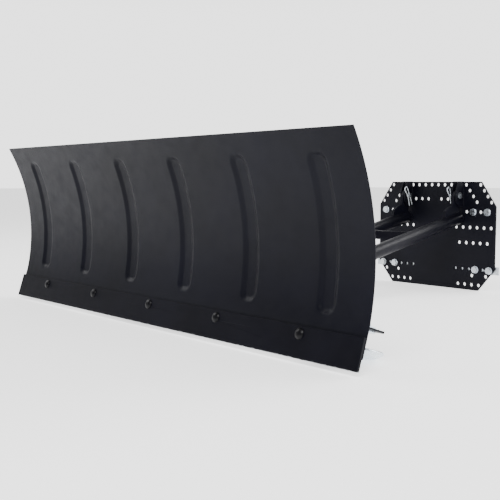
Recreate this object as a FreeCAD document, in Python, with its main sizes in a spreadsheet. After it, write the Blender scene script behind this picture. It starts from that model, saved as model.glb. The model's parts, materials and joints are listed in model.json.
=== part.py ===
import FreeCAD, Part
import math
import os

from FreeCAD import Placement, Rotation, Vector

# Plow blade for a small all-terrain vehicle: a curved ribbed blade on a spring trip hinge, an angling
# swivel, two push tubes, and a perforated mount plate that hangs from two hitch pins.
# X runs along the blade, Y from the blade back to the vehicle, Z up.
# Heights are above the level of the blade's bottom edge, which the skid shoes hold off the ground.
# Distances along Y are from the deepest line of the blade's hollow face.
# place() moves both to the part's own origin, on the ground below the middle of its bounding box.

doc = FreeCAD.newDocument("plow")

DIMENSIONS = {
    "origin_back": 511.4, "ground_gap": 6.5,
    "blade_length": 1270.0, "blade_top": 415.0, "face_radius": 458.0, "face_middle": 187.0,
    "sheet": 3.0, "sheet_bottom": 22.0, "bend_height": 75.0, "lower_lean": 18.0,
    "rib_pitch": 212.0, "rib_width": 50.0, "rib_depth": 5.0, "rib_foot": 84.0, "rib_head": 378.0,
    "wear_thickness": 6.0, "wear_height": 61.0, "wear_bolt_pitch": 242.0, "wear_bolt_height": 46.0,
    "bolt_radius": 5.0, "bolt_hole": 5.2, "head_radius": 11.0, "head_height": 5.0,
    "nut_circle": 9.8, "nut_height": 8.0, "washer_radius": 11.0, "washer_thickness": 2.0,
    "stiffener_height": 24.0, "stiffener_thickness": 5.0, "stiffener_length": 1230.0,
    "hinge_back": 45.0, "hinge_height": 105.0, "hinge_spread": 160.0, "hinge_pin": 6.35,
    "running_gap": 0.05, "knuckle_radius": 14.0, "knuckle_width": 22.0,
    "gusset_thickness": 6.0, "gusset_gap": 24.0,
    "swivel_back": 190.0, "king_radius": 10.0, "base_bottom": 86.0, "base_thickness": 6.0,
    "swivel_bottom": 93.0, "swivel_thickness": 8.0, "index_radius": 120.0, "index_step": 12.5,
    "lock_radius": 6.0, "lock_length": 70.0,
    "anchor_back": 150.0, "anchor_thickness": 6.0, "anchor_height": 40.0, "spring_spread": 62.0,
    "eye_back": 137.0, "eye_height": 128.0, "spring_lug_back": 20.0, "spring_lug_height": 300.0,
    "spring_radius": 15.0, "spring_hook": 32.0,
    "tube_radius": 19.05, "tube_wall": 2.6, "tube_spread": 96.0, "tube_front": 122.0,
    "tube_height": 66.9, "tube_bend_back": 350.0, "tube_rise": 11.7, "tube_end": 1050.0,
    "tube_bend_radius": 300.0, "cross_size": 25.0, "cross_back": 826.0, "front_bar_back": 357.0,
    "pin_back": 1036.0, "pin_height": 281.5, "lug_thickness": 9.0, "ear_thickness": 4.5,
    "ear_spread": 15.0, "pin_head_radius": 9.5, "clip_wire": 1.75,
    "plate_back": 1060.0, "plate_thickness": 5.0, "plate_bottom": -6.5, "plate_height": 330.5,
    "hole_pitch": 24.2, "clamp_thickness": 5.0, "clamp_height": 24.0,
    "skid_spread": 554.0, "skid_back": 69.0, "skid_height": 53.0, "stem_radius": 9.5, "stem_gap": 0.08,
    "shoe_radius": 46.0, "shoe_drop": 56.0, "tab_width": 69.0, "tab_thickness": 4.0,
    "spacer_radius": 22.0, "spacer_thickness": 4.0,
}

sheet = doc.addObject("Spreadsheet::Sheet", "Dimensions")
for row, (alias, value) in enumerate(DIMENSIONS.items(), start=1):
    sheet.set(f"A{row}", alias)
    sheet.set(f"B{row}", str(value))
    sheet.setAlias(f"B{row}", alias)
doc.recompute()


def size(alias):
    """A driving dimension from the sheet."""
    return float(sheet.get(alias))


def bind(item, **expressions):
    """Bind properties of an object to expressions in the sheet's aliases."""
    for name, text in expressions.items():
        item.setExpression(name, text)


def place(item, across=0.0, back=0.0, height=0.0, rotation=Rotation()):
    """Put an object at a point measured from the blade's deepest line and its bottom edge's level."""
    spot = Vector(across, back - size("origin_back"), height + size("ground_gap"))
    item.Placement = Placement(spot, rotation)
    return item


X_AXIS = Vector(1, 0, 0)
Y_AXIS = Vector(0, 1, 0)
Z_AXIS = Vector(0, 0, 1)
UPRIGHT = Rotation()
ALONG_X = Rotation(Y_AXIS, 90)
ALONG_Y = Rotation(X_AXIS, -90)
LOWER_TILT = Rotation(X_AXIS, -size("lower_lean"))
LEAN = math.radians(size("lower_lean"))
SIDES = (("left", -1), ("right", 1))
nodes = []


def node(item, label):
    """Name an object as one of the finished pieces."""
    item.Label = label
    nodes.append(item)
    return item


# ---------------------------------------------------------------- building blocks

def new_body(name):
    return doc.addObject("PartDesign::Body", name)


def origin_plane(body, role):
    return next(f for f in body.Origin.OriginFeatures if f.Role == role)


def sketch_on(body, role, name, offset=Placement()):
    sketch = body.newObject("Sketcher::SketchObject", name)
    sketch.AttachmentSupport = (origin_plane(body, role), [""])
    sketch.MapMode = "FlatFace"
    sketch.AttachmentOffset = offset
    return sketch


def draw_polygon(sketch, points):
    corners = [Vector(a, b, 0) for a, b in points]
    for start, end in zip(corners, corners[1:] + corners[:1]):
        sketch.addGeometry(Part.LineSegment(start, end), False)


def draw_circle(sketch, a, b, radius):
    sketch.addGeometry(Part.Circle(Vector(a, b, 0), Z_AXIS, radius), False)


def rounded_path(points, radii):
    """Straight runs through the points, with a tangent arc of the given radius at each inner corner."""
    corners = [Vector(a, b, 0) for a, b in points]
    pieces = []
    start = corners[0]
    for i, radius in enumerate(radii, start=1):
        into = (corners[i] - corners[i - 1]).normalize()
        out = (corners[i + 1] - corners[i]).normalize()
        turn = into.getAngle(out)
        reach = radius * math.tan(turn / 2)
        first = corners[i] - into * reach
        last = corners[i] + out * reach
        inward = (out - into).normalize()
        middle = corners[i] + inward * (radius / math.cos(turn / 2) - radius)
        pieces.append(Part.LineSegment(start, first))
        pieces.append(Part.Arc(first, middle, last))
        start = last
    pieces.append(Part.LineSegment(start, corners[-1]))
    return pieces


def pad(body, sketch, name, length, middle=False, backward=False):
    """Pad a sketch by a length given as an expression of the sheet's aliases."""
    feature = body.newObject("PartDesign::Pad", name)
    feature.Profile = sketch
    feature.Midplane = middle
    feature.Reversed = backward
    feature.setExpression("Length", length)
    sketch.Visibility = False
    return feature


def plate_body(name, role, points, thickness, holes=(), middle=True, backward=False):
    """A flat plate: a polygon with round holes (a, b, radius), padded to its thickness."""
    body = new_body(name)
    outline = sketch_on(body, role, name + "_outline")
    draw_polygon(outline, points)
    for a, b, radius in holes:
        draw_circle(outline, a, b, radius)
    pad(body, outline, name + "_pad", thickness, middle, backward)
    return body


def round_bar(name, radius, length):
    bar = doc.addObject("Part::Cylinder", name)
    bind(bar, Radius=radius, Height=length)
    return bar


def hex_bar(name, circle, length):
    bar = doc.addObject("Part::Prism", name)
    bar.Polygon = 6
    bind(bar, Circumradius=circle, Height=length)
    return bar


def box(name, length, width, height):
    block = doc.addObject("Part::Box", name)
    bind(block, Length=length, Width=width, Height=height)
    return block


def cut(name, base, tool):
    result = doc.addObject("Part::Cut", name)
    result.Base = base
    result.Tool = tool
    return result


def fuse(name, *shapes):
    result = doc.addObject("Part::MultiFuse", name)
    result.Shapes = list(shapes)
    return result


def ring(name, outer, inner, length):
    return cut(name, round_bar(name + "_outer", outer, length), round_bar(name + "_bore", inner, length))


def group(label, pattern, placements):
    """Separate copies of one piece, kept together as one named node."""
    doc.recompute()
    copies = []
    for spot in placements:
        copy = pattern.Shape.copy()
        copy.Placement = spot.multiply(pattern.Placement)
        copies.append(copy)
    item = doc.addObject("Part::Feature", label)
    item.Shape = Part.makeCompound(copies)
    return node(place(item), label)


def sweep_body(name, role, path, radius, bore=0.0):
    """A round bar or tube swept along a planar path that starts at the body's origin."""
    body = new_body(name)
    spine = sketch_on(body, role, name + "_path")
    for piece in path:
        spine.addGeometry(piece, False)
    profile = sketch_on(body, "XZ_Plane" if role != "XZ_Plane" else "YZ_Plane", name + "_section")
    draw_circle(profile, 0, 0, radius)
    if bore:
        draw_circle(profile, 0, 0, bore)
    doc.recompute()
    pipe = body.newObject("PartDesign::AdditivePipe", name + "_pipe")
    pipe.Profile = profile
    pipe.Spine = (spine, [])
    return body


# ---------------------------------------------------------------- blade

RADIUS = size("face_radius")
MIDDLE = size("face_middle")
BEND = size("bend_height")


def on_arc(radius, height):
    """Point (back, height) on a circle about the blade's centre line, at the face's angle for a height."""
    angle = math.asin((height - MIDDLE) / RADIUS)
    return (radius * math.cos(angle) - RADIUS, MIDDLE + radius * math.sin(angle))


BEND_BACK = on_arc(RADIUS, BEND)[0]
FOOT_BACK = BEND_BACK - BEND * math.tan(LEAN)


def lower_frame(across, forward, up):
    """A placement on the blade's flat lower strip: forward of its face, and up along it."""
    start = Vector(across, FOOT_BACK, 0)
    return Placement(start + LOWER_TILT.multVec(Vector(0, -forward, up)), LOWER_TILT)


def arc_run(radius, start, end, spans=4):
    """The blade's curve from one height to another, as arcs of (start, middle, end) points."""
    step = (end - start) / spans
    heights = [start + step * k / 2 for k in range(2 * spans + 1)]
    points = [Vector(*on_arc(radius, z), 0) for z in heights]
    return [points[2 * k:2 * k + 3] for k in range(spans)]


def draw_band(sketch, inner, outer, low, high):
    """A closed band between two radii of the blade's curve, from a low to a high height."""
    corners = [on_arc(inner, low), on_arc(inner, high), on_arc(outer, high), on_arc(outer, low)]
    inner_low, inner_high, outer_high, outer_low = [Vector(a, b, 0) for a, b in corners]
    half = (low + high) / 2
    inner_half = Vector(*on_arc(inner, half), 0)
    outer_half = Vector(*on_arc(outer, half), 0)
    sketch.addGeometry(Part.Arc(inner_low, inner_half, inner_high), False)
    sketch.addGeometry(Part.LineSegment(inner_high, outer_high), False)
    sketch.addGeometry(Part.Arc(outer_high, outer_half, outer_low), False)
    sketch.addGeometry(Part.LineSegment(outer_low, inner_low), False)


def make_moldboard():
    body = new_body("moldboard")
    wall = size("sheet")
    top = size("blade_top")
    profile = sketch_on(body, "YZ_Plane", "moldboard_profile")
    foot = Vector(BEND_BACK - (BEND - size("sheet_bottom")) * math.tan(LEAN), size("sheet_bottom"), 0)
    foot_rear = foot + Vector(wall * math.cos(LEAN), -wall * math.sin(LEAN), 0)
    front = arc_run(RADIUS, BEND, top)
    rear = arc_run(RADIUS + wall, top, BEND)
    profile.addGeometry(Part.LineSegment(foot, front[0][0]), False)
    for points in front + rear:
        profile.addGeometry(Part.Arc(*points), False)
    profile.addGeometry(Part.LineSegment(front[-1][2], rear[0][0]), False)
    profile.addGeometry(Part.LineSegment(rear[-1][2], foot_rear), False)
    profile.addGeometry(Part.LineSegment(foot_rear, foot), False)
    pad(body, profile, "moldboard_sheet", "Dimensions.blade_length", middle=True)

    first_rib = Placement(Vector(0, 0, -2.5 * size("rib_pitch")), UPRIGHT)
    outside = sketch_on(body, "YZ_Plane", "rib_outside", first_rib)
    draw_band(outside, RADIUS + wall / 2, RADIUS + wall + size("rib_depth"), size("rib_foot"), size("rib_head"))
    bump = pad(body, outside, "rib_bump", "Dimensions.rib_width", middle=True)
    inside = sketch_on(body, "YZ_Plane", "rib_inside", first_rib)
    draw_band(inside, RADIUS - wall, RADIUS + size("rib_depth"), size("rib_foot") + wall, size("rib_head") - wall)
    doc.recompute()
    hollow = body.newObject("PartDesign::Pocket", "rib_hollow")
    hollow.Profile = inside
    hollow.Midplane = True
    hollow.setExpression("Length", "Dimensions.rib_width - 2 * Dimensions.sheet")
    pattern = body.newObject("PartDesign::LinearPattern", "rib_pattern")
    pattern.Originals = [bump, hollow]
    axis = next(f for f in body.Origin.OriginFeatures if f.Role == "X_Axis")
    pattern.Direction = (axis, [""])
    pattern.setExpression("Length", "5 * Dimensions.rib_pitch")
    pattern.Occurrences = 6
    body.Tip = pattern
    for feature in (body.getObject("moldboard_sheet"), bump, hollow, pattern):
        feature.Refine = False
    doc.recompute()

    spot = lower_frame(0, 0, size("wear_bolt_height")).Base
    offset = Placement(Vector(0, spot.z, -spot.y), LOWER_TILT)
    holes = sketch_on(body, "XZ_Plane", "wear_bolt_holes", offset)
    for k in range(-2, 3):
        draw_circle(holes, k * size("wear_bolt_pitch"), 0, size("bolt_hole"))
    drilled = body.newObject("PartDesign::Pocket", "wear_bolt_pocket")
    drilled.Profile = holes
    drilled.Midplane = True
    drilled.Refine = False
    drilled.setExpression("Length", "8 * Dimensions.sheet")
    before = pattern.Shape.Volume
    doc.recompute()
    assert body.Shape.Volume < before
    return node(place(body), "moldboard")


def wear_bolt_spots(forward):
    spots = []
    for k in range(-2, 3):
        spots.append(lower_frame(k * size("wear_bolt_pitch"), forward, size("wear_bolt_height")))
    return spots


def make_wear_bar():
    bar = box("wear_blank", "Dimensions.blade_length", "Dimensions.wear_thickness", "Dimensions.wear_height")
    bar.Placement.Base = Vector(-size("blade_length") / 2, -size("wear_thickness"), 0)
    drills = []
    for k in range(-2, 3):
        drill = round_bar(f"wear_drill_{k + 2}", "Dimensions.bolt_hole", "3 * Dimensions.wear_thickness")
        across = k * size("wear_bolt_pitch")
        drill.Placement = Placement(Vector(across, -2 * size("wear_thickness"), size("wear_bolt_height")), ALONG_Y)
        drills.append(drill)
    bar = cut("wear_bar", bar, fuse("wear_drills", *drills))
    return node(place(bar, 0, FOOT_BACK, 0, LOWER_TILT), "wear_bar")


def make_carriage_bolt():
    """A domed bolt along +Y, with its head's seat at the origin."""
    body = new_body("carriage_bolt")
    half = sketch_on(body, "XY_Plane", "carriage_half")
    head = size("head_radius")
    tall = size("head_height")
    shank = size("bolt_radius")
    grip = 22.0
    seat = Vector(head, 0, 0)
    side = Vector(head, -1, 0)
    crown = Vector(0, -tall, 0)
    shoulder = Vector(head * 0.62, -tall * 0.8, 0)
    half.addGeometry(Part.Arc(crown, shoulder, side), False)
    half.addGeometry(Part.LineSegment(side, seat), False)
    half.addGeometry(Part.LineSegment(seat, Vector(shank, 0, 0)), False)
    half.addGeometry(Part.LineSegment(Vector(shank, 0, 0), Vector(shank, grip, 0)), False)
    half.addGeometry(Part.LineSegment(Vector(shank, grip, 0), Vector(0, grip, 0)), False)
    half.addGeometry(Part.LineSegment(Vector(0, grip, 0), crown), False)
    doc.recompute()
    turned = body.newObject("PartDesign::Revolution", "carriage_turned")
    turned.Profile = half
    turned.ReferenceAxis = (half, ["V_Axis"])
    turned.Angle = 360
    return body


def make_nut(name):
    """A hexagon nut along +Y, with its seat at the origin."""
    nut = cut(name, hex_bar(name + "_hex", "Dimensions.nut_circle", "Dimensions.nut_height"),
              round_bar(name + "_bore", "Dimensions.bolt_radius", "Dimensions.nut_height"))
    nut.Placement = Placement(Vector(), ALONG_Y)
    return nut


def make_top_stiffener():
    bar = box("top_stiffener", "Dimensions.stiffener_length", "Dimensions.stiffener_thickness",
              "Dimensions.stiffener_height")
    low = size("blade_top") - size("stiffener_height") - 3
    mid = low + size("stiffener_height") / 2
    tilt = math.degrees(math.asin((mid - MIDDLE) / RADIUS))
    back, height = on_arc(RADIUS + size("sheet") + 0.2, low)
    place(bar, -size("stiffener_length") / 2, back, height, Rotation(X_AXIS, tilt))
    return node(bar, "top_stiffener")


def make_back_gussets():
    """Four upright plates on the blade's back that carry the trip hinge."""
    back = size("hinge_back")
    height = size("hinge_height")
    skin = RADIUS + size("sheet")
    points = [on_arc(skin, BEND + 2), on_arc(skin, 130), on_arc(skin, MIDDLE), on_arc(skin, 250)]
    points += [on_arc(skin, 320), (18, 312), (28, 240), (back + 15, height + 10), (back + 18, height)]
    points += [(back + 12, height - 14), (back, height - 18), (back - 14, height - 20)]
    offset = (size("gusset_gap") + size("gusset_thickness")) / 2
    for side, sign in SIDES:
        for where, shift in (("inner", -offset), ("outer", offset)):
            label = f"back_gusset_{side}_{where}"
            holes = [(back, height, size("hinge_pin"))]
            body = plate_body(label, "YZ_Plane", points, "Dimensions.gusset_thickness", holes)
            place(body, sign * (size("hinge_spread") + shift), 0, 0)
            node(body, label)


def make_spring_lugs():
    back = size("spring_lug_back")
    height = size("spring_lug_height")
    skin = RADIUS + size("sheet")
    points = [on_arc(skin, height - 28), (back + 4, height - 12), (back + 12, height)]
    points += [(back + 4, height + 12), on_arc(skin, height + 24)]
    for side, sign in SIDES:
        label = f"spring_lug_{side}"
        body = plate_body(label, "YZ_Plane", points, "Dimensions.gusset_thickness", [(back, height, 6.0)])
        node(place(body, sign * size("spring_spread"), 0, 0), label)


# ---------------------------------------------------------------- trip hinge and swivel

def make_trip_hinge():
    for side, sign in SIDES:
        middle = sign * size("hinge_spread")
        knuckle = ring(f"hinge_knuckle_{side}", "Dimensions.knuckle_radius",
                       "Dimensions.hinge_pin + Dimensions.running_gap", "Dimensions.knuckle_width")
        place(knuckle, middle - size("knuckle_width") / 2, size("hinge_back"), size("hinge_height"), ALONG_X)
        node(knuckle, f"hinge_knuckle_{side}")
        reach = 26.0
        shaft = round_bar(f"hinge_shaft_{side}", "Dimensions.hinge_pin", "52 mm")
        shaft.Placement.Base = Vector(0, 0, -reach)
        head = round_bar(f"hinge_head_{side}", "Dimensions.hinge_pin + 4", "5 mm")
        head.Placement.Base = Vector(0, 0, reach if sign > 0 else -reach - 5)
        pin = fuse(f"hinge_pin_{side}", shaft, head)
        place(pin, middle, size("hinge_back"), size("hinge_height"), ALONG_X)
        node(pin, f"hinge_pin_{side}")


def make_swivel_plate():
    """The turning plate: two tongues out to the hinge knuckles, and a tail back to the lock pin."""
    spread = size("hinge_spread")
    front = size("hinge_back") + size("knuckle_radius")
    inner, outer = spread - 10, spread + 10
    half = [(outer, front), (outer, 92), (spread - 30, 120), (45, 300), (30, 336)]
    right = [(inner, front)] + half
    left = [(-x, y) for x, y in reversed(right)]
    points = right + left + [(-inner, 80), (inner, 80)]
    holes = [(0, size("swivel_back"), size("king_radius") + size("running_gap"))]
    holes.append((0, size("swivel_back") + size("index_radius"), size("lock_radius") + 0.4))
    body = plate_body("swivel_plate", "XY_Plane", points, "Dimensions.swivel_thickness", holes, middle=False)
    return node(place(body, 0, 0, size("swivel_bottom")), "swivel_plate")


def make_swivel_base():
    """The fixed plate on the tubes, with five index holes on an arc about the king pin."""
    pivot = size("swivel_back")
    points = [(-100, 124), (100, 124), (125, 150), (125, 326), (-125, 326), (-125, 150)]
    holes = [(0, pivot, size("king_radius"))]
    for k in range(-2, 3):
        angle = math.radians(k * size("index_step"))
        reach = size("index_radius")
        holes.append((reach * math.sin(angle), pivot + reach * math.cos(angle), size("lock_radius") + 0.4))
    body = plate_body("swivel_base", "XY_Plane", points, "Dimensions.base_thickness", holes, middle=False)
    return node(place(body, 0, 0, size("base_bottom")), "swivel_base")


def make_king_pin():
    low = size("base_bottom") - 16
    seat = size("swivel_bottom") + size("swivel_thickness") + 0.3
    shaft = round_bar("king_shaft", "Dimensions.king_radius", f"{seat - low} mm")
    head = hex_bar("king_head", "17.5 mm", "12.5 mm")
    head.Placement.Base = Vector(0, 0, seat - low)
    node(place(fuse("king_pin", shaft, head), 0, size("swivel_back"), low), "king_pin")
    nut = cut("king_pin_nut", hex_bar("king_nut_hex", "17.5 mm", "14 mm"),
              round_bar("king_nut_bore", "Dimensions.king_radius", "14 mm"))
    node(place(nut, 0, size("swivel_back"), size("base_bottom") - 14), "king_pin_nut")


def make_lock_pin():
    top = size("swivel_bottom") + size("swivel_thickness")
    back = size("swivel_back") + size("index_radius")
    housing = ring("lock_housing", "2 * Dimensions.lock_radius", "Dimensions.lock_radius + Dimensions.running_gap",
                   "34 mm")
    node(place(housing, 0, back, top), "lock_housing")
    shaft = round_bar("lock_shaft", "Dimensions.lock_radius", "Dimensions.lock_length")
    knob = round_bar("lock_knob", "2.2 * Dimensions.lock_radius", "9 mm")
    knob.Placement.Base = Vector(0, 0, size("lock_length"))
    node(place(fuse("lock_pin", shaft, knob), 0, back, size("swivel_bottom") + 1), "lock_pin")


def make_spring_gear():
    """Anchor bar on the swivel plate, its eyebolts, and the envelope of each trip spring."""
    top = size("swivel_bottom") + size("swivel_thickness")
    spread = size("spring_spread")
    holes = []
    for side, sign in SIDES:
        holes.append((sign * spread, size("eye_height") - top, size("bolt_radius")))
    points = [(-90, 0), (90, 0), (90, 26), (78, 40), (-78, 40), (-90, 26)]
    bar = plate_body("spring_anchor", "XZ_Plane", points, "Dimensions.anchor_thickness", holes,
                     middle=False, backward=True)
    node(place(bar, 0, size("anchor_back"), top), "spring_anchor")
    eye_ring = 9.0
    eye_wire = 3.0
    for side, sign in SIDES:
        eye = doc.addObject("Part::Torus", f"eye_ring_{side}")
        eye.Radius1 = eye_ring
        eye.Radius2 = eye_wire
        eye.Placement = Placement(Vector(), ALONG_X)
        shank = round_bar(f"eye_shank_{side}", "Dimensions.bolt_radius", "26 mm")
        shank.Placement = Placement(Vector(0, eye_ring + 1, 0), ALONG_Y)
        bolt = fuse(f"spring_eyebolt_{side}", eye, shank)
        place(bolt, sign * spread, size("eye_back"), size("eye_height"))
        node(bolt, f"spring_eyebolt_{side}")
        run = Vector(0, size("spring_lug_back") - size("eye_back"), size("spring_lug_height") - size("eye_height"))
        coil = round_bar(f"trip_spring_{side}", "Dimensions.spring_radius",
                         f"{run.Length - 2 * size('spring_hook')} mm")
        way = Vector(run).normalize()
        start = Vector(sign * spread, size("eye_back"), size("eye_height")) + way * size("spring_hook")
        place(coil, start.x, start.y, start.z, Rotation(Z_AXIS, way))
        node(coil, f"trip_spring_{side}")
    nut = make_nut("eye_nut")
    seat = size("anchor_back") + size("anchor_thickness")
    spots = [Placement(Vector(sign * spread, seat, size("eye_height")), UPRIGHT) for side, sign in SIDES]
    group("eyebolt_nuts", nut, spots)


# ---------------------------------------------------------------- push frame

RISE = math.tan(math.radians(size("tube_rise")))


def tube_line(back):
    """Height of the tube's centre line behind its bend."""
    return size("tube_height") + RISE * (back - size("tube_bend_back"))


def make_push_tubes():
    start = size("tube_front")
    bend = size("tube_bend_back") - start
    end = size("tube_end") - start
    climb = tube_line(size("tube_end")) - size("tube_height")
    for side, sign in SIDES:
        path = rounded_path([(0, 0), (bend, 0), (end, climb)], [size("tube_bend_radius")])
        label = f"push_tube_{side}"
        bore = size("tube_radius") - size("tube_wall")
        body = sweep_body(label, "YZ_Plane", path, size("tube_radius"), bore)
        node(place(body, sign * size("tube_spread"), start, size("tube_height")), label)


def make_cross_member(label, back, height):
    length = 2 * (size("tube_spread") - size("tube_radius"))
    outer = box(label + "_outer", f"{length} mm", "Dimensions.cross_size", "Dimensions.cross_size")
    wall = 2.5
    inner = box(label + "_inner", f"{length} mm", f"Dimensions.cross_size - {2 * wall}",
                f"Dimensions.cross_size - {2 * wall}")
    inner.Placement.Base = Vector(0, wall, wall)
    bar = cut(label, outer, inner)
    half = size("cross_size") / 2
    node(place(bar, -length / 2, back - half, height - half), label)


def make_lift_tab():
    base = size("tube_height") + size("cross_size") / 2
    back = size("front_bar_back")
    points = [(back - 10, base), (back + 10, base), (back + 14, base + 26), (back + 7, base + 40)]
    points += [(back - 3, base + 40), (back - 8, base + 28)]
    body = plate_body("lift_tab", "YZ_Plane", points, "8 mm", [(back + 3, base + 27, 7.0)])
    node(place(body), "lift_tab")


def make_hitch_lugs():
    """A stepped plate on the end of each tube, rising to the hitch pin's bore."""
    back = size("pin_back")
    height = size("pin_height")
    sunk = size("tube_radius") - 1
    foot = back - 64
    end = back + 13
    points = [(foot, tube_line(foot) + sunk), (back - 60, height - 46), (back - 46, height - 38)]
    points += [(back - 28, height - 31), (back - 19, height - 20), (back - 17, height)]
    points += [(back - 11, height + 12.5), (back, height + 17), (back + 11, height + 12.5)]
    points += [(back + 16, height), (end, height - 30), (end, tube_line(end) + sunk)]
    for side, sign in SIDES:
        label = f"hitch_lug_{side}"
        holes = [(back, height, size("hinge_pin") + size("running_gap"))]
        body = plate_body(label, "YZ_Plane", points, "Dimensions.lug_thickness", holes)
        node(place(body, sign * size("tube_spread"), 0, 0), label)


# ---------------------------------------------------------------- mount plate

PLATE_TOP = size("plate_bottom") + size("plate_height")
UPPER_BOLTS = 232.5
LOWER_BOLTS = 57.5
PLATE_BOLTS = ((5.85, UPPER_BOLTS), (7.85, UPPER_BOLTS), (6.3, LOWER_BOLTS), (8.25, LOWER_BOLTS))


def plate_holes():
    """The plate's field of holes, as (columns from the middle, height) on the right half."""
    top_row = PLATE_TOP - 9.5
    half = [(k + 0.5, top_row) for k in range(4)]
    for column in (4.7, 6.75):
        half += [(column + 0.53 * k, top_row - 17.5 * k) for k in range(4)]
    half += [(k, top_row - 44.5) for k in (1, 2, 3)]
    half += [(4.85 + k, UPPER_BOLTS) for k in range(4)]
    half += [(3.35 + k, 185.0) for k in range(6)]
    half += [(3.85 + k, 138.0) for k in range(5)]
    half += [(k, LOWER_BOLTS) for k in (3.33, 4.32, 5.3, 6.3, 7.25, 8.25)]
    half += [(5.77, LOWER_BOLTS - 19), (7.75, LOWER_BOLTS - 19)]
    half += [(3.75 + k, 10.0) for k in range(4)]
    return half


def make_mount_plate():
    pitch = size("hole_pitch")
    wide = 9 * pitch
    top = wide - 2.1 * pitch
    foot = wide - 2.3 * pitch
    upper = PLATE_TOP - 74
    lower = size("plate_bottom") + 68
    right = [(foot, size("plate_bottom")), (wide, lower), (wide, upper), (top, PLATE_TOP)]
    points = right + [(-x, z) for x, z in reversed(right)]
    holes = []
    for column, height in plate_holes():
        for side, sign in SIDES:
            holes.append((sign * column * pitch, height, size("bolt_hole")))
    body = plate_body("mount_plate", "XZ_Plane", points, "Dimensions.plate_thickness", holes,
                      middle=False, backward=True)
    node(place(body, 0, size("plate_back"), 0), "mount_plate")


def plate_spots(back, low_back=None):
    """Places of the eight plate bolts; the lower four may sit further back."""
    spots = []
    for column, height in PLATE_BOLTS:
        for side, sign in SIDES:
            depth = low_back if low_back and height < size("plate_height") / 2 else back
            spots.append(Placement(Vector(sign * column * size("hole_pitch"), depth, height), UPRIGHT))
    return spots


def make_plate_fasteners():
    face = size("plate_back")
    rear = face + size("plate_thickness")
    thin = size("washer_thickness")
    bolt = fuse("plate_bolt", hex_bar("plate_bolt_head", "Dimensions.nut_circle", "6.4 mm"),
                round_bar("plate_bolt_shank", "Dimensions.bolt_radius", "32 mm"))
    bolt.Placement = Placement(Vector(), ALONG_Y)
    group("plate_bolts", bolt, plate_spots(face - thin - 6.4))
    washer = ring("plate_washer", "Dimensions.washer_radius", "Dimensions.bolt_radius", "Dimensions.washer_thickness")
    washer.Placement = Placement(Vector(), ALONG_Y)
    group("plate_washers", washer, plate_spots(face - thin))
    group("plate_nuts", make_nut("plate_nut"), plate_spots(rear, rear + size("clamp_thickness")))


def make_clamp_bars():
    """Loose zinc bars behind the lower bolt row, which clamp the plate to a vehicle's frame."""
    pitch = size("hole_pitch")
    low = LOWER_BOLTS - size("clamp_height") / 2
    inner = 70.0
    outer = 9 * pitch + 11
    points = [(inner, 0), (outer, 0), (outer, size("clamp_height")), (inner, size("clamp_height"))]
    holes = [(c * pitch, LOWER_BOLTS - low, size("bolt_hole")) for c, z in PLATE_BOLTS[2:]]
    for side, sign in SIDES:
        label = f"clamp_bar_{side}"
        body = plate_body(label, "XZ_Plane", [(sign * x, z) for x, z in points], "Dimensions.clamp_thickness",
                          [(sign * x, z, r) for x, z, r in holes], middle=False, backward=True)
        node(place(body, 0, size("plate_back") + size("plate_thickness"), low), label)


def make_mount_ears():
    """Two thin plates on the mount plate's face, either side of each hitch lug."""
    back = size("pin_back")
    height = size("pin_height")
    face = size("plate_back")
    points = [(face, height - 33), (back - 2, height - 33), (back - 15, height - 20), (back - 16, height + 8)]
    points += [(back - 4, PLATE_TOP + 1), (face, PLATE_TOP + 1)]
    for side, sign in SIDES:
        for where, shift in (("inner", -size("ear_spread") / 2), ("outer", size("ear_spread") / 2)):
            label = f"mount_ear_{side}_{where}"
            holes = [(back, height, size("hinge_pin"))]
            body = plate_body(label, "YZ_Plane", points, "Dimensions.ear_thickness", holes)
            node(place(body, sign * (size("tube_spread") + shift), 0, 0), label)


def make_hitch_pins():
    """Clevis pins with their heads outboard, and a hairpin through each inboard end."""
    inboard = 20.5
    outboard = 10.5
    clip_at = 16.5
    clip_reach = 33.0
    clip_tilt = Rotation(X_AXIS, 25)
    for side, sign in SIDES:
        shaft = round_bar(f"hitch_shaft_{side}", "Dimensions.hinge_pin", f"{inboard + outboard} mm")
        head = round_bar(f"hitch_head_{side}", "Dimensions.pin_head_radius", "4.5 mm")
        head.Placement.Base = Vector(0, 0, inboard + outboard)
        pin = fuse(f"hitch_pin_{side}", shaft, head)
        facing = ALONG_X if sign > 0 else Rotation(Y_AXIS, -90)
        across = sign * (size("tube_spread") - inboard)
        node(place(pin, across, size("pin_back"), size("pin_height"), facing), f"hitch_pin_{side}")
        points = [(0, 0), (0, 64), (-17, 64), (-9.6, 38), (-9.6, 26), (-14, 2)]
        path = rounded_path(points, [8.3, 7.5, 14, 14])
        label = f"hairpin_{side}"
        body = new_body(label)
        spine = sketch_on(body, "YZ_Plane", label + "_path")
        for piece in path:
            spine.addGeometry(piece, False)
        section = sketch_on(body, "XY_Plane", label + "_section")
        draw_circle(section, 0, 0, size("clip_wire"))
        doc.recompute()
        pipe = body.newObject("PartDesign::AdditivePipe", label + "_pipe")
        pipe.Profile = section
        pipe.Spine = (spine, [])
        across = sign * (size("tube_spread") - clip_at)
        start = Vector(across, size("pin_back"), size("pin_height")) - clip_tilt.multVec(Vector(0, 0, clip_reach))
        node(place(body, *start, clip_tilt), label)


# ---------------------------------------------------------------- skids

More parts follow.
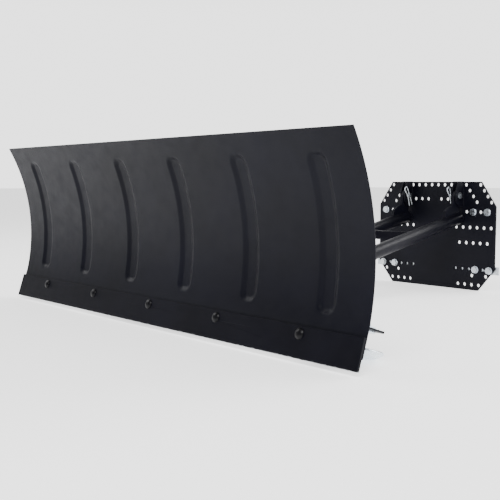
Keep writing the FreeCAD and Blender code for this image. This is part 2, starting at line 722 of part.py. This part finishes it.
def make_skids():
    """A dished shoe on a stem through a bracket tab square to the blade's lower back."""
    back = size("skid_back")
    height = size("skid_height")
    half = size("tab_thickness") / 2
    stem = size("stem_radius")
    rim = size("shoe_radius")
    drop = size("shoe_drop")
    for side, sign in SIDES:
        across = sign * size("skid_spread")
        width = size("tab_width") / 2
        outline = [(-width, -82.5), (width, -82.5), (width, 18), (width - 11, 29), (11 - width, 29), (-width, 18)]
        hole = [(0, 0, stem + size("stem_gap"))]
        tab = plate_body(f"skid_bracket_{side}", "XY_Plane", outline, "Dimensions.tab_thickness", hole)
        node(place(tab, across, back, height, LOWER_TILT), f"skid_bracket_{side}")

        shoe = new_body(f"skid_shoe_{side}")
        section = sketch_on(shoe, "XZ_Plane", f"skid_section_{side}")
        corners = [(0, 13), (stem, 13), (stem, 14 - drop + 8), (14, 14 - drop + 4), (rim - 3, 20 - drop)]
        corners += [(rim, 18 - drop), (rim, 15 - drop)]
        spots = [Vector(a, b, 0) for a, b in corners]
        for start, end in zip(spots, spots[1:]):
            section.addGeometry(Part.LineSegment(start, end), False)
        sole = Vector(12, -drop, 0)
        section.addGeometry(Part.Arc(spots[-1], Vector(rim * 0.77, 6.2 - drop, 0), sole), False)
        section.addGeometry(Part.LineSegment(sole, Vector(0, -drop, 0)), False)
        section.addGeometry(Part.LineSegment(Vector(0, -drop, 0), spots[0]), False)
        doc.recompute()
        turned = shoe.newObject("PartDesign::Revolution", f"skid_turned_{side}")
        turned.Profile = section
        turned.ReferenceAxis = (section, ["V_Axis"])
        turned.Angle = 360
        node(place(shoe, across, back, height, LOWER_TILT), f"skid_shoe_{side}")

        spacer = ring(f"skid_spacer_{side}", "Dimensions.spacer_radius", "Dimensions.stem_radius",
                      "Dimensions.spacer_thickness")
        gap = 0.2
        levels = (half + gap, -half - gap - size("spacer_thickness"))
        frame = Placement(Vector(across, back, height), LOWER_TILT)
        spots = [frame.multiply(Placement(Vector(0, 0, level), UPRIGHT)) for level in levels]
        group(f"skid_spacers_{side}", spacer, spots)

        pin = round_bar(f"skid_cross_pin_{side}", "2 mm", "28 mm")
        spot = frame.multiply(Placement(Vector(-14, 0, 8.8), ALONG_X))
        node(place(pin, *spot.Base, spot.Rotation), f"skid_cross_pin_{side}")


# ---------------------------------------------------------------- the whole plow

make_moldboard()
make_wear_bar()
group("wear_bar_bolts", make_carriage_bolt(), wear_bolt_spots(size("wear_thickness")))
group("wear_bar_nuts", make_nut("wear_nut"), wear_bolt_spots(-size("sheet")))
make_top_stiffener()
make_back_gussets()
make_spring_lugs()
make_trip_hinge()
make_swivel_plate()
make_swivel_base()
make_king_pin()
make_lock_pin()
make_spring_gear()
make_push_tubes()
make_cross_member("rear_cross_member", size("cross_back"), tube_line(size("cross_back")))
make_cross_member("front_cross_bar", size("front_bar_back"), size("tube_height"))
make_lift_tab()
make_hitch_lugs()
make_mount_plate()
make_plate_fasteners()
make_clamp_bars()
make_mount_ears()
make_hitch_pins()
make_skids()
doc.recompute()

for item in doc.Objects:
    faults = [word for word in item.State if word in ("Invalid", "Error")]
    if faults:
        raise RuntimeError(f"{item.Label} failed: {item.State}")
for item in nodes:
    if item.Shape.isNull() or not item.Shape.isValid() or not item.Shape.Solids:
        raise RuntimeError(f"{item.Label} has no valid solid")

os.makedirs("parts", exist_ok=True)
for item in nodes:
    item.Shape.exportStep(os.path.join("parts", item.Label + ".step"))

whole = Part.makeCompound([item.Shape for item in nodes]).BoundBox
print(len(nodes), "pieces", whole)
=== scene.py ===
import json
import math

import bpy
from mathutils import Euler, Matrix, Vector


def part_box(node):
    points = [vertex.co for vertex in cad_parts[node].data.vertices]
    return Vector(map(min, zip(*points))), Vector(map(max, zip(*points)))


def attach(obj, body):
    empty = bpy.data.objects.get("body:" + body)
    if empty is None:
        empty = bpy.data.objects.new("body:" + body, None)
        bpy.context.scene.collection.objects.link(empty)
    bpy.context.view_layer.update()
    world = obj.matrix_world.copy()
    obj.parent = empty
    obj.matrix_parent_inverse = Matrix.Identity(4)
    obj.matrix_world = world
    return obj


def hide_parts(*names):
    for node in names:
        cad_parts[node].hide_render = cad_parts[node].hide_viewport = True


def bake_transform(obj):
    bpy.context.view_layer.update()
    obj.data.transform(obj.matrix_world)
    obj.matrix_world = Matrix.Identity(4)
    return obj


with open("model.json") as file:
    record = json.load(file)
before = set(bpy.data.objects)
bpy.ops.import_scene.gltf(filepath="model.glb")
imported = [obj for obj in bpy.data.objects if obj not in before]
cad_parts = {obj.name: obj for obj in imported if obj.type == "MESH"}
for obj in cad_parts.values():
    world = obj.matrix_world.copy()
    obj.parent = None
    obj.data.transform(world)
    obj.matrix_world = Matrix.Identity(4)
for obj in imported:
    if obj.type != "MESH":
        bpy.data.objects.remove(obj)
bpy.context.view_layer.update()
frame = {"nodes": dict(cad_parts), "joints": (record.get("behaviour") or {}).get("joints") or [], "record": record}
nodes = frame["nodes"]
joints = {joint["name"]: joint for joint in frame["joints"]}

SIDES = ("left", "right")

# The trip hinge's place behind the blade's deepest line and above its bottom edge. With the joint's place
# it gives where those two lie in the frame, and the blade's curve and the camera are measured from them.
TRIP_BACK = 0.045
TRIP_HEIGHT = 0.105
BACK = TRIP_BACK - joints["blade_trip"]["pos_m"][1]
LIFT = joints["blade_trip"]["pos_m"][2] - TRIP_HEIGHT

# The blade's section, as the CAD model has it: a face arc above a flat leaning strip.
FACE_RADIUS = 0.458
FACE_MIDDLE = 0.187 + LIFT
SHEET = 0.003
SHEET_FOOT = 0.022 + LIFT
BEND = 0.075 + LIFT
LEAN = math.radians(18)
BLADE_TOP = 0.415 + LIFT
HALF_BLADE = 0.635
RIB_COUNT = 6
RIB_MIDDLE = (RIB_COUNT - 1) / 2
RIB_PITCH = 0.212
RIB_WIDTH = 0.050
RIB_DEPTH = 0.005
RIB_WALL = 0.013
RIB_FOOT = 0.084 + LIFT
RIB_HEAD = 0.378 + LIFT


# ---------------------------------------------------------------- camera, light and floor

CAMERA_PLACE = (1.510, -1.063 - BACK, 0.322 + LIFT)
CAMERA_DIP = 4.82
CAMERA_TURN = 48.35
LENS = 57.8
SENSOR = 36


def make_camera():
    """A low view past the blade's right end, from just below the height of the blade's top."""
    data = bpy.data.cameras.new("view")
    data.lens = LENS
    data.sensor_width = SENSOR
    camera = bpy.data.objects.new("view", data)
    camera.location = CAMERA_PLACE
    camera.rotation_euler = Euler((math.radians(90 - CAMERA_DIP), 0, math.radians(CAMERA_TURN)))
    bpy.context.scene.collection.objects.link(camera)
    bpy.context.scene.camera = camera


def make_area_light(name, place, target, across, power):
    data = bpy.data.lights.new(name, "AREA")
    data.shape = "RECTANGLE"
    data.size = across[0]
    data.size_y = across[1]
    data.energy = power
    light = bpy.data.objects.new(name, data)
    light.location = place
    light.rotation_euler = (Vector(target) - Vector(place)).to_track_quat("-Z", "Y").to_euler()
    bpy.context.scene.collection.objects.link(light)


def make_world():
    """Soft light from above the horizon, dimmer in front of the blade to keep its black paint dark."""
    world = bpy.data.worlds.new("studio")
    bpy.context.scene.world = world
    world.use_nodes = True
    background = world.node_tree.nodes["Background"]
    background.inputs["Color"].default_value = (1.0, 1.0, 1.0, 1)
    direction = add_node(world, "ShaderNodeTexCoord")
    split = add_node(world, "ShaderNodeSeparateXYZ")
    link(world, direction.outputs["Generated"], split.inputs["Vector"])
    overhead = remap(world, split.outputs["Z"], 0.20, 0.62, 2.6, 0.7)
    behind = remap(world, split.outputs["Y"], -0.40, 0.30, 0.16, 1.0)
    link(world, arithmetic(world, "MULTIPLY", overhead, behind), background.inputs["Strength"])


def make_lights():
    make_area_light("key", (1.9, -2.4, 2.9), (0.2, -0.3, 0.1), (2.6, 1.8), 150)
    make_area_light("fill", (-2.6, -1.6, 2.2), (0, 0, 0.2), (2.0, 2.0), 50)
    make_area_light("back", (1.4, 2.8, 2.4), (0, 0.3, 0.2), (2.6, 1.6), 110)


def make_floor():
    floor_mesh = bpy.data.meshes.new("floor")
    reach = 40.0
    drop = 0.0006
    corners = [(-reach, -reach, 0), (reach, -reach, 0), (reach, reach, 0), (-reach, reach, 0)]
    floor_mesh.from_pydata(corners, [], [(0, 1, 2, 3)])
    floor = bpy.data.objects.new("floor", floor_mesh)
    floor.location.z = -drop
    bpy.context.scene.collection.objects.link(floor)
    paper = new_material("studio_floor")
    shader = shader_of(paper)
    shader.inputs["Base Color"].default_value = (0.92, 0.92, 0.92, 1)
    shader.inputs["Roughness"].default_value = 0.9
    shader.inputs["Emission Color"].default_value = (1, 1, 1, 1)
    shader.inputs["Emission Strength"].default_value = 1.1
    floor_mesh.materials.append(paper)


# ---------------------------------------------------------------- material helpers

def new_material(name):
    material = bpy.data.materials.new(name)
    material.use_nodes = True
    return material


def shader_of(material):
    return material.node_tree.nodes["Principled BSDF"]


def add_node(material, kind, **inputs):
    made = material.node_tree.nodes.new(kind)
    for name, value in inputs.items():
        made.inputs[name.replace("_", " ")].default_value = value
    return made


def link(material, output, target):
    material.node_tree.links.new(output, target)


def surface_point(material, stretch=(1, 1, 1)):
    """Object coordinates, optionally stretched, for the textures to follow the metal."""
    where = add_node(material, "ShaderNodeTexCoord")
    mapping = add_node(material, "ShaderNodeMapping")
    mapping.inputs["Scale"].default_value = stretch
    link(material, where.outputs["Object"], mapping.inputs["Vector"])
    return mapping.outputs["Vector"]


def noise(material, scale, detail=3.0, stretch=(1, 1, 1), roughness=0.5):
    texture = add_node(material, "ShaderNodeTexNoise", Scale=scale, Detail=detail, Roughness=roughness)
    link(material, surface_point(material, stretch), texture.inputs["Vector"])
    return texture.outputs["Fac"]


def remap(material, value, low, high, to_low, to_high):
    made = add_node(material, "ShaderNodeMapRange")
    for name, number in zip(("From Min", "From Max", "To Min", "To Max"), (low, high, to_low, to_high)):
        made.inputs[name].default_value = number
    link(material, value, made.inputs["Value"])
    return made.outputs["Result"]


def mix_colour(material, factor, first, second):
    """Mix two colours, each an (r, g, b) or the output of another node."""
    made = material.node_tree.nodes.new("ShaderNodeMix")
    made.data_type = "RGBA"
    link(material, factor, made.inputs["Factor"])
    for colour, name in ((first, "A"), (second, "B")):
        socket = next(s for s in made.inputs if s.name == name and s.type == "RGBA")
        if isinstance(colour, tuple):
            socket.default_value = (*colour, 1)
        else:
            link(material, colour, socket)
    return next(s for s in made.outputs if s.type == "RGBA")


def arithmetic(material, operation, first, second):
    made = material.node_tree.nodes.new("ShaderNodeMath")
    made.operation = operation
    for i, value in enumerate((first, second)):
        if isinstance(value, (int, float)):
            made.inputs[i].default_value = value
        else:
            link(material, value, made.inputs[i])
    return made.outputs["Value"]


def bump(material, heights, strength, distance):
    """Chain bumps from several height textures onto the shader's normal."""
    normal = None
    for height in heights:
        made = add_node(material, "ShaderNodeBump", Strength=strength, Distance=distance)
        link(material, height, made.inputs["Height"])
        if normal:
            link(material, normal, made.inputs["Normal"])
        normal = made.outputs["Normal"]
    link(material, normal, shader_of(material).inputs["Normal"])


# ---------------------------------------------------------------- materials

def make_powder_coat(name, colour, gloss, sheen=0.2, peel=0.16):
    """Satin black powder coat: orange peel, faint mottling, and fine pale rub marks."""
    material = new_material(name)
    shader = shader_of(material)
    mottled = noise(material, 7.0, 4.0)
    lighter = tuple(c * 1.5 + 0.0004 for c in colour)
    paint = mix_colour(material, remap(material, mottled, 0.35, 0.7, 0.0, 1.0), colour, lighter)
    rubs = noise(material, 26.0, 2.0, (1.0, 3.0, 9.0), 0.7)
    rub_mask = remap(material, rubs, 0.70, 0.80, 0.0, 0.35)
    worn = mix_colour(material, rub_mask, paint, tuple(c * 2.2 + 0.003 for c in colour))
    link(material, worn, shader.inputs["Base Color"])
    satin = remap(material, noise(material, 40.0, 3.0), 0.3, 0.7, gloss - 0.05, gloss + 0.06)
    link(material, satin, shader.inputs["Roughness"])
    shader.inputs["Specular IOR Level"].default_value = sheen
    bump(material, [noise(material, 620.0, 2.0), noise(material, 1900.0, 1.0)], peel, 0.0004)
    return material


def make_wear_paint():
    """The wear bar's paint, worn to bare bright steel along a ragged line by its lower edge."""
    material = make_powder_coat("wear_paint", (0.0022, 0.0022, 0.0046), 0.42, 0.085)
    shader = shader_of(material)
    painted = shader.inputs["Base Color"].links[0].from_socket
    where = add_node(material, "ShaderNodeTexCoord")
    split = add_node(material, "ShaderNodeSeparateXYZ")
    link(material, where.outputs["Object"], split.inputs["Vector"])
    ragged = remap(material, noise(material, 90.0, 4.0), 0.3, 0.7, -0.0008, 0.0010)
    edge = arithmetic(material, "ADD", split.outputs["Z"], ragged)
    bare = remap(material, edge, LIFT + 0.0026, LIFT + 0.0034, 1.0, 0.0)
    steel = mix_colour(material, remap(material, noise(material, 300.0), 0.3, 0.7, 0.0, 1.0),
                       (0.34, 0.35, 0.36), (0.56, 0.57, 0.58))
    link(material, mix_colour(material, bare, painted, steel), shader.inputs["Base Color"])
    link(material, bare, shader.inputs["Metallic"])
    return material


def make_zinc(name, tone, gloss):
    """Bright zinc plate: bluish, with a faint straw bloom and a fine grain."""
    material = new_material(name)
    shader = shader_of(material)
    shader.inputs["Metallic"].default_value = 1.0
    bloom = remap(material, noise(material, 30.0, 3.0), 0.45, 0.75, 0.0, 0.6)
    straw = (tone[0] * 1.06, tone[1], tone[2] * 0.86)
    link(material, mix_colour(material, bloom, tone, straw), shader.inputs["Base Color"])
    grain = remap(material, noise(material, 210.0, 4.0), 0.3, 0.7, gloss - 0.08, gloss + 0.12)
    link(material, grain, shader.inputs["Roughness"])
    bump(material, [noise(material, 900.0, 2.0)], 0.10, 0.0002)
    return material


def make_dark_steel(name, tone, gloss):
    """Oiled steel with a fine uneven sheen."""
    material = new_material(name)
    shader = shader_of(material)
    shader.inputs["Metallic"].default_value = 1.0
    patch = remap(material, noise(material, 60.0, 4.0), 0.35, 0.7, 0.0, 1.0)
    lighter = tuple(c * 1.7 for c in tone)
    link(material, mix_colour(material, patch, tone, lighter), shader.inputs["Base Color"])
    grain = remap(material, noise(material, 160.0), 0.3, 0.7, gloss - 0.08, gloss + 0.1)
    link(material, grain, shader.inputs["Roughness"])
    bump(material, [noise(material, 1100.0, 2.0)], 0.12, 0.0002)
    return material


MATERIALS = {
    "blade_paint": make_powder_coat("blade_paint", (0.0028, 0.0029, 0.0058), 0.40, 0.10),
    "frame_paint": make_powder_coat("frame_paint", (0.0034, 0.0034, 0.0062), 0.38, 0.10),
    "plate_paint": make_powder_coat("plate_paint", (0.0028, 0.0029, 0.0056), 0.44, 0.11),
    "wear_paint": make_wear_paint(),
    "zinc": make_zinc("zinc", (0.60, 0.64, 0.69), 0.30),
    "dark_bolt": make_powder_coat("dark_bolt", (0.0020, 0.0020, 0.0030), 0.30, 0.16),
    "spring_steel": make_dark_steel("spring_steel", (0.10, 0.10, 0.105), 0.32),
}
PALE_ZINC = make_zinc("skid_zinc", (0.72, 0.79, 0.86), 0.26)


def round_edges(thing, width, sharpest):
    """A small bevel on edges sharper than an angle in degrees, to catch the light."""
    rounding = thing.modifiers.new("edge", "BEVEL")
    rounding.width = width
    rounding.segments = 2
    rounding.limit_method = "ANGLE"
    rounding.angle_limit = math.radians(sharpest)
    rounding.harden_normals = True


def finish_cad_nodes():
    """Every CAD node gets its slot's material, and a small bevel to catch the light."""
    slots = {part["node"]: part["material_slot"] for part in frame["record"]["subparts"]}
    for name, thing in nodes.items():
        material = MATERIALS[slots[name]]
        if name.startswith(("skid_shoe", "skid_spacers")):
            material = PALE_ZINC
        thing.data.materials.clear()
        thing.data.materials.append(material)
        weld = thing.modifiers.new("join", "WELD")
        weld.merge_threshold = 0.00001
        round_edges(thing, 0.0004 if slots[name] == "zinc" else 0.0006, 40)


# ---------------------------------------------------------------- mesh helpers

def new_piece(name, vertices, faces, material, body):
    """A smooth mesh with its material and slot, riding on a body if one is given."""
    mesh = bpy.data.meshes.new(name)
    mesh.from_pydata(vertices, [], faces)
    mesh.update()
    for polygon in mesh.polygons:
        polygon.use_smooth = True
    mesh.materials.append(material)
    piece = bpy.data.objects.new(name, mesh)
    bpy.context.scene.collection.objects.link(piece)
    if body:
        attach(piece, body)
    return piece


def tube_mesh(path, radius_at, sides=8):
    """Vertices and faces of a closed round bar along a list of points."""
    vertices = []
    faces = []
    side = None
    for i, point in enumerate(path):
        ahead = path[min(i + 1, len(path) - 1)] - path[max(i - 1, 0)]
        ahead.normalize()
        if side is None:
            side = ahead.orthogonal().normalized()
        side = (side - ahead * side.dot(ahead)).normalized()
        other = ahead.cross(side)
        for k in range(sides):
            turn = 2 * math.pi * k / sides
            vertices.append(point + (side * math.cos(turn) + other * math.sin(turn)) * radius_at(i))
        if i:
            first = (i - 1) * sides
            for k in range(sides):
                right = (k + 1) % sides
                faces.append((first + k, first + right, first + sides + right, first + sides + k))
    last = (len(path) - 1) * sides
    faces.append(tuple(reversed(range(sides))))
    faces.append(tuple(last + k for k in range(sides)))
    return vertices, faces


def resample(points, step):
    """Points about a step apart along straight runs."""
    spaced = [points[0]]
    for start, end in zip(points, points[1:]):
        count = max(1, round((end - start).length / step))
        spaced += [start.lerp(end, k / count) for k in range(1, count + 1)]
    return spaced


BEAD = 0.0024
BEAD_STEP = 0.0016


def make_beads(name, body, paths, material, radius=BEAD):
    """Weld beads along several paths on one body, as one piece with stacked ripples."""
    vertices = []
    faces = []
    for path in paths:
        points = resample([Vector(p) for p in path], BEAD_STEP)
        last = len(points) - 1

        def swell(i):
            taper = min(1.0, 0.45 + 0.2 * min(i, last - i))
            return radius * taper * (1 + 0.10 * math.sin(i * 2.1) + 0.04 * math.sin(i * 0.53))

        ring_points, ring_faces = tube_mesh(points, swell)
        base = len(vertices)
        vertices += ring_points
        faces += [tuple(base + k for k in face) for face in ring_faces]
    return new_piece(name, vertices, faces, material, body)


# ---------------------------------------------------------------- blade

def curve_point(height, out):
    """A point on the blade's section and its outward (backward) normal, for a height up the sheet."""
    if height >= BEND:
        angle = math.asin((height - FACE_MIDDLE) / FACE_RADIUS)
        normal = Vector((0, math.cos(angle), math.sin(angle)))
        centre = Vector((0, -FACE_RADIUS - BACK, FACE_MIDDLE))
        return centre + normal * (FACE_RADIUS + out), normal
    top, _ = curve_point(BEND, 0)
    drop = (BEND - height) / math.cos(LEAN)
    normal = Vector((0, math.cos(LEAN), -math.sin(LEAN)))
    along = Vector((0, -math.sin(LEAN), -math.cos(LEAN)))
    return top + along * drop + normal * out, normal


def smooth_step(value):
    value = max(0.0, min(1.0, value))
    return value * value * (3 - 2 * value)


def rib_press(across, height):
    """Depth of the pressed rib at a point of the sheet: a long pocket with round ends."""
    nearest = min(abs(across - (k - RIB_MIDDLE) * RIB_PITCH) for k in range(RIB_COUNT))
    corner = RIB_WIDTH * 0.42
    reach = (RIB_HEAD - RIB_FOOT) / 2
    beyond_x = max(nearest - (RIB_WIDTH / 2 - corner), 0.0)
    beyond_z = max(abs(height - (RIB_HEAD + RIB_FOOT) / 2) - (reach - corner), 0.0)
    inside = corner - math.hypot(beyond_x, beyond_z)
    return RIB_DEPTH * smooth_step(inside / RIB_WALL)


def stations():
    """Places across the blade, closer together over each rib's walls."""
    coarse = 158
    fine = 0.0016
    fine_steps = 17
    least_gap = 0.0009
    marks = {-HALF_BLADE, HALF_BLADE}
    marks.update(round(-HALF_BLADE + 2 * HALF_BLADE * k / coarse, 5) for k in range(coarse + 1))
    for rib in range(RIB_COUNT):
        middle = (rib - RIB_MIDDLE) * RIB_PITCH
        marks.update(round(middle + fine * k, 5) for k in range(-fine_steps, fine_steps + 1))
    ordered = sorted(marks)
    kept = [ordered[0]]
    for mark in ordered[1:]:
        if mark - kept[-1] > least_gap:
            kept.append(mark)
    kept[-1] = HALF_BLADE
    return kept


def make_moldboard():
    """The rolled sheet with six pressed ribs, closed all round at its real thickness."""
    across = stations()
    low_rows = 7
    high_rows = 110
    heights = [SHEET_FOOT + (BEND - SHEET_FOOT) * k / low_rows for k in range(low_rows)]
    heights += [BEND + (BLADE_TOP - BEND) * k / high_rows for k in range(high_rows + 1)]
    vertices = []
    for out in (0.0, SHEET):
        for height in heights:
            foot, normal = curve_point(height, out)
            for x in across:
                point = foot + normal * rib_press(x, height)
                vertices.append((x, point.y, point.z))
    wide = len(across)
    tall = len(heights)
    layer = wide * tall
    faces = []
    for j in range(tall - 1):
        for i in range(wide - 1):
            a = j * wide + i
            faces.append((a, a + 1, a + wide + 1, a + wide))
            b = a + layer
            faces.append((b, b + wide, b + wide + 1, b + 1))
    for i in range(wide - 1):
        top = (tall - 1) * wide + i
        faces.append((i + 1, i, i + layer, i + 1 + layer))
        faces.append((top, top + 1, top + 1 + layer, top + layer))
    for j in range(tall - 1):
        left = j * wide
        right = left + wide - 1
        faces.append((left, left + wide, left + wide + layer, left + layer))
        faces.append((right + wide, right, right + layer, right + wide + layer))
    piece = new_piece("moldboard_sheet", vertices, faces, MATERIALS["blade_paint"], "blade")
    round_edges(piece, 0.0007, 60)
    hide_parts("moldboard")


# Heights above the blade's bottom edge, and for the two runs up its back also the step and point count.
GUSSET_RUN = (0.080, 0.012, 20)
LUG_RUN = (0.275, 0.0082, 6)
BRACKET_HEIGHT = 0.0845
STIFFENER_DROP = 0.0275


def on_back(across, height):
    point, _ = curve_point(height, SHEET)
    return (across, point.y, point.z)


def run_up(across, first, step, count):
    """A bead path up the blade's back."""
    return [on_back(across, LIFT + first + step * k) for k in range(count)]


def make_blade_welds():
    """Beads at the gussets, spring lugs and skid brackets, and stitches under the top stiffener."""
    paths = []
    for side in SIDES:
        for where in ("inner", "outer"):
            low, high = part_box(f"back_gusset_{side}_{where}")
            for across in (low.x, high.x):
                paths.append(run_up(across, *GUSSET_RUN))
        low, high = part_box(f"spring_lug_{side}")
        for across in (low.x, high.x):
            paths.append(run_up(across, *LUG_RUN))
        low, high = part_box(f"skid_bracket_{side}")
        for offset in (-0.0028, 0.0032):
            height = BRACKET_HEIGHT + LIFT + offset
            paths.append([on_back(low.x + 0.002, height), on_back(high.x - 0.002, height)])
    stitches = 8
    stitch_pitch = 0.16
    stitch_length = 0.05
    height = BLADE_TOP - STIFFENER_DROP
    for k in range(stitches):
        start = -0.60 + stitch_pitch * k
        paths.append([on_back(start, height), on_back(start + stitch_length, height)])
    make_beads("blade_welds", "blade", paths, MATERIALS["blade_paint"])


# ---------------------------------------------------------------- springs

COIL_RADIUS = 0.0124
WIRE_RADIUS = 0.0024
HOOK_RADIUS = 0.0085
HOOK_INSET = 0.002
HOOK_POINTS = 15
HOOK_STEP = 20
HOOK_LENGTH = 0.033
EYE_RING_RADIUS = 0.012
LUG_HOLE_BACK = 0.020
LUG_HOLE_HEIGHT = 0.300


def spring_path(start, end):
    """A close-wound extension spring between two eyes, with a loop hook at each end."""
    way = (end - start).normalized()
    side = Vector((1, 0, 0))
    other = way.cross(side)
    length = (end - start).length
    body_start = HOOK_LENGTH
    body_end = length - HOOK_LENGTH
    turns = 27
    steps = 18
    neck = 0.010
    shoulder = 0.004
    shoulder_out = side * COIL_RADIUS * 0.55
    points = []
    for k in range(HOOK_POINTS):
        turn = math.radians(-60 + HOOK_STEP * k)
        centre = start + way * (HOOK_RADIUS - HOOK_INSET)
        points.append(centre + (side * math.sin(turn) - way * math.cos(turn)) * HOOK_RADIUS)
    points.append(start + way * (body_start - neck))
    points.append(start + way * (body_start - shoulder) + shoulder_out)
    for k in range(turns * steps + 1):
        turn = 2 * math.pi * k / steps
        centre = start + way * (body_start + (body_end - body_start) * k / (turns * steps))
        points.append(centre + (side * math.cos(turn) + other * math.sin(turn)) * COIL_RADIUS)
    points.append(start + way * (body_end + shoulder) + shoulder_out)
    points.append(start + way * (body_end + neck))
    for k in range(HOOK_POINTS):
        turn = math.radians(220 - HOOK_STEP * k)
        centre = end - way * (HOOK_RADIUS - HOOK_INSET)
        points.append(centre + (side * math.sin(turn) + way * math.cos(turn)) * HOOK_RADIUS)
    return points


def make_trip_springs():
    """The coils between eyebolts and lugs, built in place of the CAD springs and riding on no body."""
    for side in SIDES:
        eye_low, eye_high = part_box(f"spring_eyebolt_{side}")
        across = (eye_low.x + eye_high.x) / 2
        start = Vector((across, eye_low.y + EYE_RING_RADIUS, (eye_low.z + eye_high.z) / 2))
        end = Vector((start.x, LUG_HOLE_BACK - BACK, LUG_HOLE_HEIGHT + LIFT))
        vertices, faces = tube_mesh(spring_path(start, end), lambda i: WIRE_RADIUS)
        name = f"trip_spring_coil_{side}"
        piece = new_piece(name, vertices, faces, MATERIALS["spring_steel"], None)
        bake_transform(piece)
        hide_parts(f"trip_spring_{side}")


# ---------------------------------------------------------------- frame and plate welds

TUBE_RISE = math.radians(11.7)


def square_loop(across, low, high):
    """A bead path round the end of a square bar, at one place across the frame."""
    corners = [(low.y, low.z), (high.y, low.z), (high.y, high.z), (low.y, high.z), (low.y, low.z)]
    return [(across, y, z) for y, z in corners]


def circle_loop(centre, radius):
    """A bead path round an upright cylinder."""
    steps = 36
    points = []
    for k in range(steps + 1):
        turn = 2 * math.pi * k / steps
        points.append((centre[0] + radius * math.cos(turn), centre[1] + radius * math.sin(turn), centre[2]))
    return points


def make_frame_welds():
    """Beads on the cross bars, and where the tubes carry the swivel base, hitch lugs and lift tab."""
    inset = 0.004
    run = 0.074
    rise = math.tan(TUBE_RISE)
    paths = []
    for bar in ("rear_cross_member", "front_cross_bar"):
        low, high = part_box(bar)
        paths.append(square_loop(low.x - 0.001, low, high))
        paths.append(square_loop(high.x + 0.001, low, high))
    base_low, base_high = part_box("swivel_base")
    for side in SIDES:
        tube_low, tube_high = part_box(f"push_tube_{side}")
        middle = (tube_low.x + tube_high.x) / 2
        for edge in (-0.009, 0.009):
            x = middle + edge
            paths.append([(x, base_low.y + inset, base_low.z), (x, base_low.y + run, base_low.z)])
            paths.append([(x, base_high.y - run, base_low.z), (x, base_high.y - inset, base_low.z)])
        lug_low, lug_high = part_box(f"hitch_lug_{side}")
        for x in (lug_low.x, lug_high.x):
            foot = (x, lug_low.y + 0.002, tube_high.z - rise * (tube_high.y - lug_low.y))
            paths.append([foot, (x, tube_high.y - 0.003, tube_high.z - 0.0006)])
    tab_low, tab_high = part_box("lift_tab")
    for x in (tab_low.x, tab_high.x):
        paths.append([(x, tab_low.y + 0.006, tab_low.z), (x, tab_high.y - 0.006, tab_low.z)])
    make_beads("frame_welds", "push_frame", paths, MATERIALS["frame_paint"])


def make_swivel_welds():
    """Beads at the hinge knuckles, the spring anchor and the lock housing."""
    inset = 0.003
    paths = []
    plate_low, plate_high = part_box("swivel_plate")
    for side in SIDES:
        low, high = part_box(f"hinge_knuckle_{side}")
        back = plate_low.y - 0.0004
        for height in (plate_low.z - 0.0002, plate_high.z + 0.0002):
            paths.append([(low.x + inset, back, height), (high.x - inset, back, height)])
    low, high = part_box("spring_anchor")
    for y in (low.y, high.y):
        paths.append([(low.x + inset, y, low.z), (high.x - inset, y, low.z)])
    low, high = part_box("lock_housing")
    paths.append(circle_loop(((low.x + high.x) / 2, (low.y + high.y) / 2, low.z), (high.x - low.x) / 2))
    make_beads("swivel_welds", "swivel_head", paths, MATERIALS["blade_paint"])


def make_plate_welds():
    """Beads up both sides of each ear on the mount plate."""
    bead = 0.0018
    _, plate_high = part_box("mount_plate")
    paths = []
    for side in SIDES:
        for where in ("inner", "outer"):
            low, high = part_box(f"mount_ear_{side}_{where}")
            for x in (low.x, high.x):
                paths.append([(x, high.y, low.z + 0.003), (x, high.y, plate_high.z - 0.004)])
    make_beads("plate_welds", "mount", paths, MATERIALS["plate_paint"], bead)


make_camera()
make_world()
make_lights()
make_floor()
finish_cad_nodes()
make_moldboard()
make_blade_welds()
make_trip_springs()
make_frame_welds()
make_swivel_welds()
make_plate_welds()
